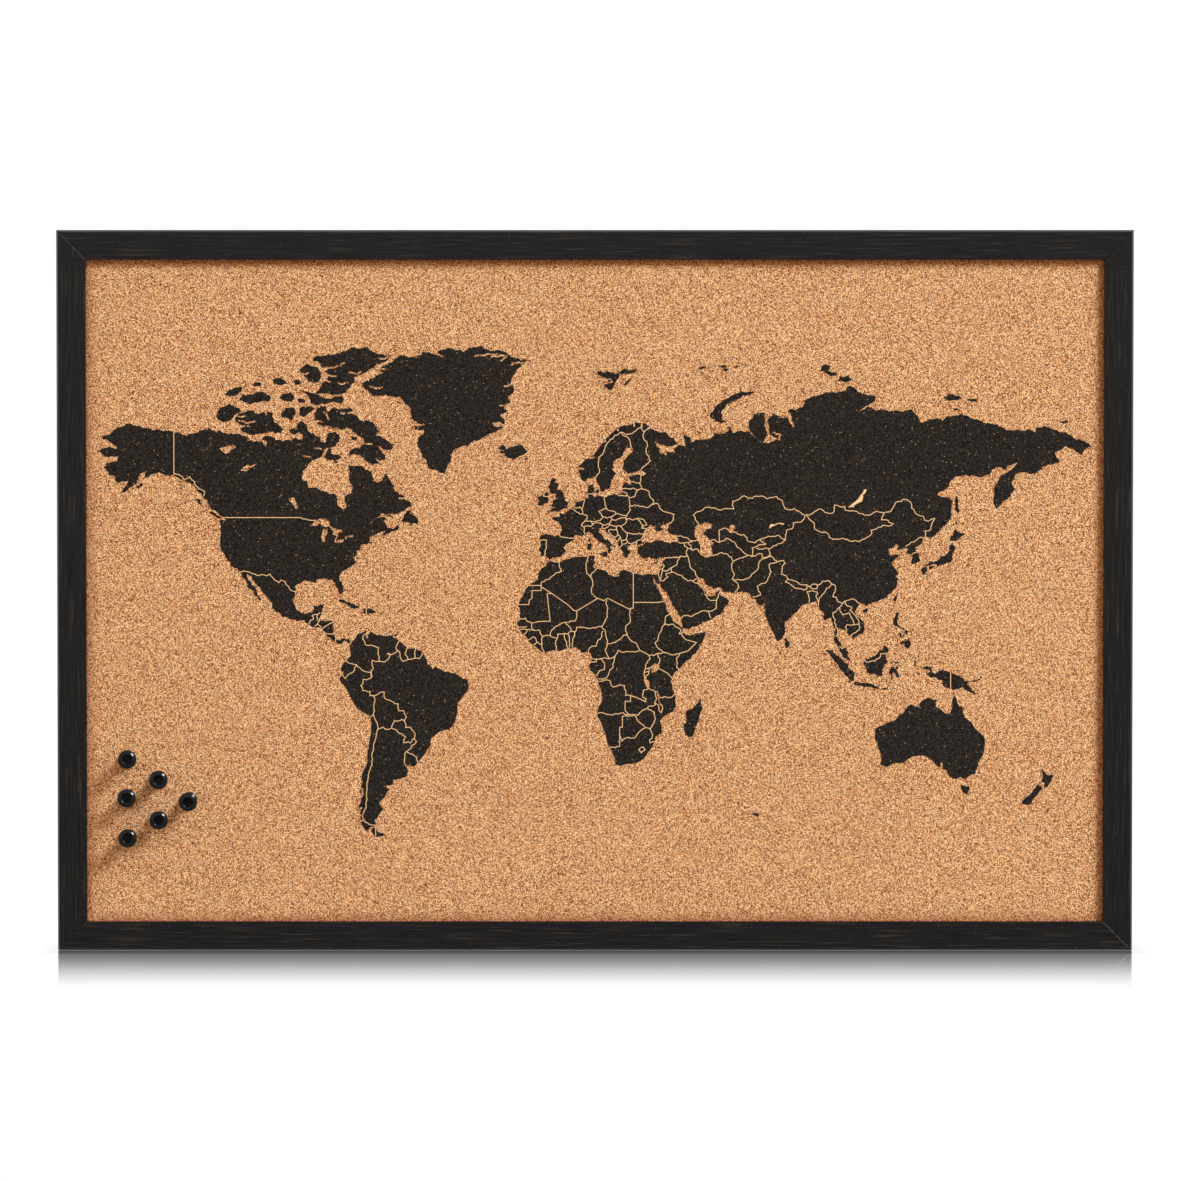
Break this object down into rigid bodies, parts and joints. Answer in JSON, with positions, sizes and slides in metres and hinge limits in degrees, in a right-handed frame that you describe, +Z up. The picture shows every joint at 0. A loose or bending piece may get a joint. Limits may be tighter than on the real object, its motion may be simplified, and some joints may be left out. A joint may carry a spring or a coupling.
{
  "type": "cork bulletin board",
  "caption": "Wall-hung rectangular cork board with a world map print, a mitred black frame, short round push pins and two rear ring hangers.",
  "frame": {"origin": "centre of the board on the plane of the wall behind it", "axes": "+X to the right along the width, +Z up the height, +Y from the board into the wall; the cork faces -Y"},
  "size_m": [0.6, 0.0303, 0.402],
  "materials": {
    "frame_foil": "satin black wood-grain foil on fibreboard",
    "cork": "matt granulated cork",
    "map_ink": "matt black print on cork",
    "core_board": "matt softboard",
    "hardboard": "smooth brown hardboard",
    "zinc_steel": "zinc plated",
    "ring_wire": "nickel plated wire",
    "pad_rubber": "matt rubber",
    "pin_plastic": "gloss black moulded plastic",
    "needle_steel": "polished steel"
  },
  "bodies": {
    "board": {"frame_rail_top": "frame_foil", "frame_rail_bottom": "frame_foil", "frame_stile_left": "frame_foil", "frame_stile_right": "frame_foil", "cork_sheet": "cork", "core_board": "core_board", "back_panel": "hardboard", "retaining_point_top_1": "zinc_steel", "retaining_point_top_2": "zinc_steel", "retaining_point_top_3": "zinc_steel", "retaining_point_top_4": "zinc_steel", "retaining_point_right_1": "zinc_steel", "retaining_point_right_2": "zinc_steel", "retaining_point_bottom_1": "zinc_steel", "retaining_point_bottom_2": "zinc_steel", "retaining_point_bottom_3": "zinc_steel", "retaining_point_bottom_4": "zinc_steel", "retaining_point_left_1": "zinc_steel", "retaining_point_left_2": "zinc_steel", "v_nail_bottom_left_outer": "zinc_steel", "v_nail_bottom_left_inner": "zinc_steel", "v_nail_top_left_outer": "zinc_steel", "v_nail_top_left_inner": "zinc_steel", "v_nail_top_right_outer": "zinc_steel", "v_nail_top_right_inner": "zinc_steel", "v_nail_bottom_right_outer": "zinc_steel", "v_nail_bottom_right_inner": "zinc_steel", "hanger_strap_left": "zinc_steel", "hanger_screw_left": "zinc_steel", "bumper_pad_left": "pad_rubber", "hanger_strap_right": "zinc_steel", "hanger_screw_right": "zinc_steel", "bumper_pad_right": "pad_rubber"},
    "ring_left": {"hanger_ring_left": "ring_wire"},
    "ring_right": {"hanger_ring_right": "ring_wire"},
    "push_pin_1": {"push_pin_head_1": "pin_plastic", "push_pin_needle_1": "needle_steel"},
    "push_pin_2": {"push_pin_head_2": "pin_plastic", "push_pin_needle_2": "needle_steel"},
    "push_pin_3": {"push_pin_head_3": "pin_plastic", "push_pin_needle_3": "needle_steel"},
    "push_pin_4": {"push_pin_head_4": "pin_plastic", "push_pin_needle_4": "needle_steel"},
    "push_pin_5": {"push_pin_head_5": "pin_plastic", "push_pin_needle_5": "needle_steel"},
    "push_pin_6": {"push_pin_head_6": "pin_plastic", "push_pin_needle_6": "needle_steel"}
  },
  "joints": [
    {"name": "ring_left_swing", "type": "hinge", "parent": "board", "child": "ring_left", "pos_m": [-0.29425, -0.0021, 0.105], "axis": [1, 0, 0], "range_deg": [0, 180]},
    {"name": "ring_right_swing", "type": "hinge", "parent": "board", "child": "ring_right", "pos_m": [0.29425, -0.0021, 0.105], "axis": [1, 0, 0], "range_deg": [0, 180]},
    {"name": "push_pin_1_pull", "type": "slide", "parent": "board", "child": "push_pin_1", "axis": [0, -1, 0], "range_m": [0, 0.02]},
    {"name": "push_pin_2_pull", "type": "slide", "parent": "board", "child": "push_pin_2", "axis": [0, -1, 0], "range_m": [0, 0.02]},
    {"name": "push_pin_3_pull", "type": "slide", "parent": "board", "child": "push_pin_3", "axis": [0, -1, 0], "range_m": [0, 0.02]},
    {"name": "push_pin_4_pull", "type": "slide", "parent": "board", "child": "push_pin_4", "axis": [0, -1, 0], "range_m": [0, 0.02]},
    {"name": "push_pin_5_pull", "type": "slide", "parent": "board", "child": "push_pin_5", "axis": [0, -1, 0], "range_m": [0, 0.02]},
    {"name": "push_pin_6_pull", "type": "slide", "parent": "board", "child": "push_pin_6", "axis": [0, -1, 0], "range_m": [0, 0.02]}
  ]
}
